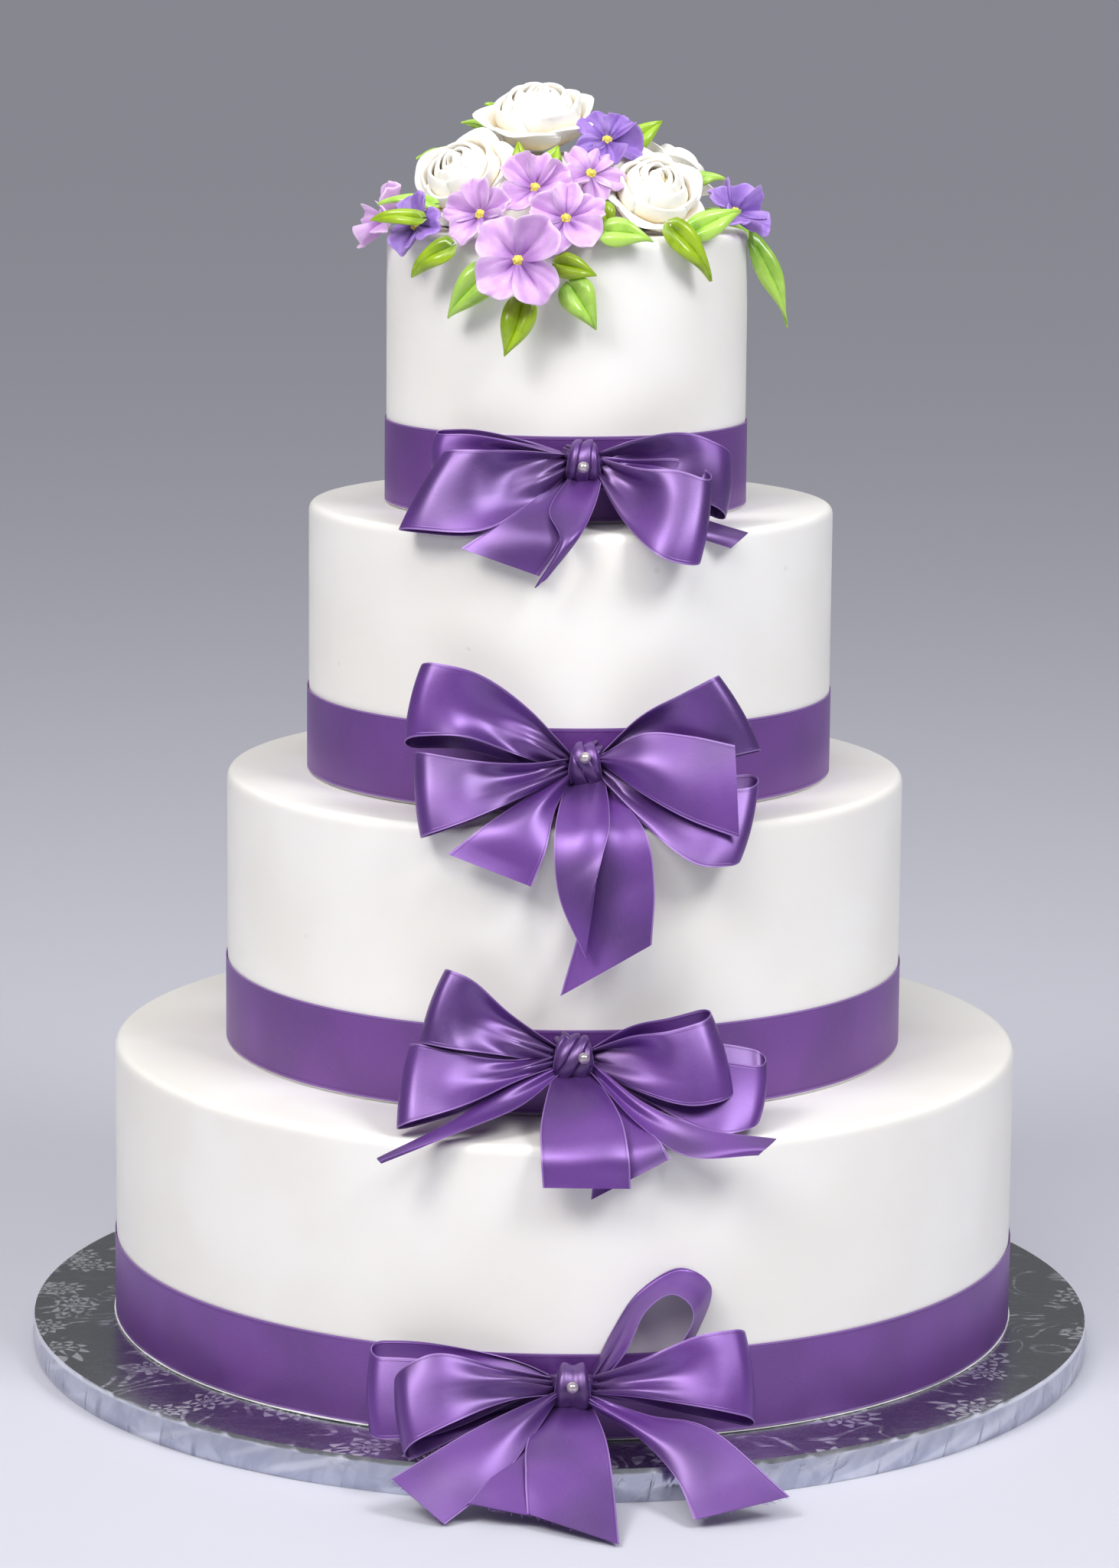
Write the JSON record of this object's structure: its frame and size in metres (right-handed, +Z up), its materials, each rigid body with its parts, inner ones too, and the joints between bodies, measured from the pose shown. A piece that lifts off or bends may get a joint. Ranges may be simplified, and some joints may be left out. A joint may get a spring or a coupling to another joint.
{
  "type": "wedding cake",
  "caption": "Tall round tiered wedding cake in smooth white icing on a silver board, with purple satin bands, bows and piped buttercream flowers on top.",
  "frame": {"origin": "middle of the flat underside of the cake board", "axes": "+Z up through the tiers; the front with the bows faces -Y; +X to the right as seen from the front"},
  "size_m": [0.508, 0.5624, 0.5973],
  "materials": {
    "white_icing": "smooth satin buttercream",
    "silver_foil": "embossed silver foil",
    "purple_satin": "satin ribbon",
    "pearl": "pearl",
    "rose_buttercream": "piped buttercream",
    "lilac_buttercream": "piped buttercream",
    "violet_buttercream": "piped buttercream",
    "leaf_buttercream": "piped buttercream"
  },
  "bodies": {
    "root": {"board": "silver_foil", "tier_1": "white_icing", "tier_2": "white_icing", "tier_3": "white_icing", "tier_4": "white_icing", "band_1": "purple_satin", "band_2": "purple_satin", "band_3": "purple_satin", "band_4": "purple_satin", "bow_1": "purple_satin", "bow_2": "purple_satin", "bow_3": "purple_satin", "bow_4": "purple_satin", "pearl_1": "pearl", "pearl_2": "pearl", "pearl_3": "pearl", "pearl_4": "pearl", "mound": "white_icing", "rose_top": "rose_buttercream", "rose_left": "rose_buttercream", "rose_right": "rose_buttercream", "rose_back": "rose_buttercream", "lilac_flower_1": "lilac_buttercream", "lilac_flower_2": "lilac_buttercream", "lilac_flower_3": "lilac_buttercream", "lilac_flower_4": "lilac_buttercream", "lilac_flower_5": "lilac_buttercream", "lilac_flower_6": "lilac_buttercream", "lilac_flower_7": "lilac_buttercream", "lilac_flower_8": "lilac_buttercream", "violet_flower_1": "violet_buttercream", "violet_flower_2": "violet_buttercream", "violet_flower_3": "violet_buttercream", "violet_flower_4": "violet_buttercream", "violet_flower_5": "violet_buttercream", "leaf_1": "leaf_buttercream", "leaf_2": "leaf_buttercream", "leaf_3": "leaf_buttercream", "leaf_4": "leaf_buttercream", "leaf_5": "leaf_buttercream", "leaf_6": "leaf_buttercream", "leaf_7": "leaf_buttercream", "leaf_8": "leaf_buttercream", "leaf_9": "leaf_buttercream", "leaf_10": "leaf_buttercream", "leaf_11": "leaf_buttercream", "leaf_12": "leaf_buttercream", "leaf_13": "leaf_buttercream", "leaf_14": "leaf_buttercream", "leaf_15": "leaf_buttercream", "leaf_16": "leaf_buttercream", "leaf_17": "leaf_buttercream", "leaf_18": "leaf_buttercream", "leaf_19": "leaf_buttercream", "leaf_20": "leaf_buttercream", "leaf_21": "leaf_buttercream", "leaf_22": "leaf_buttercream"}
  },
  "joints": []
}
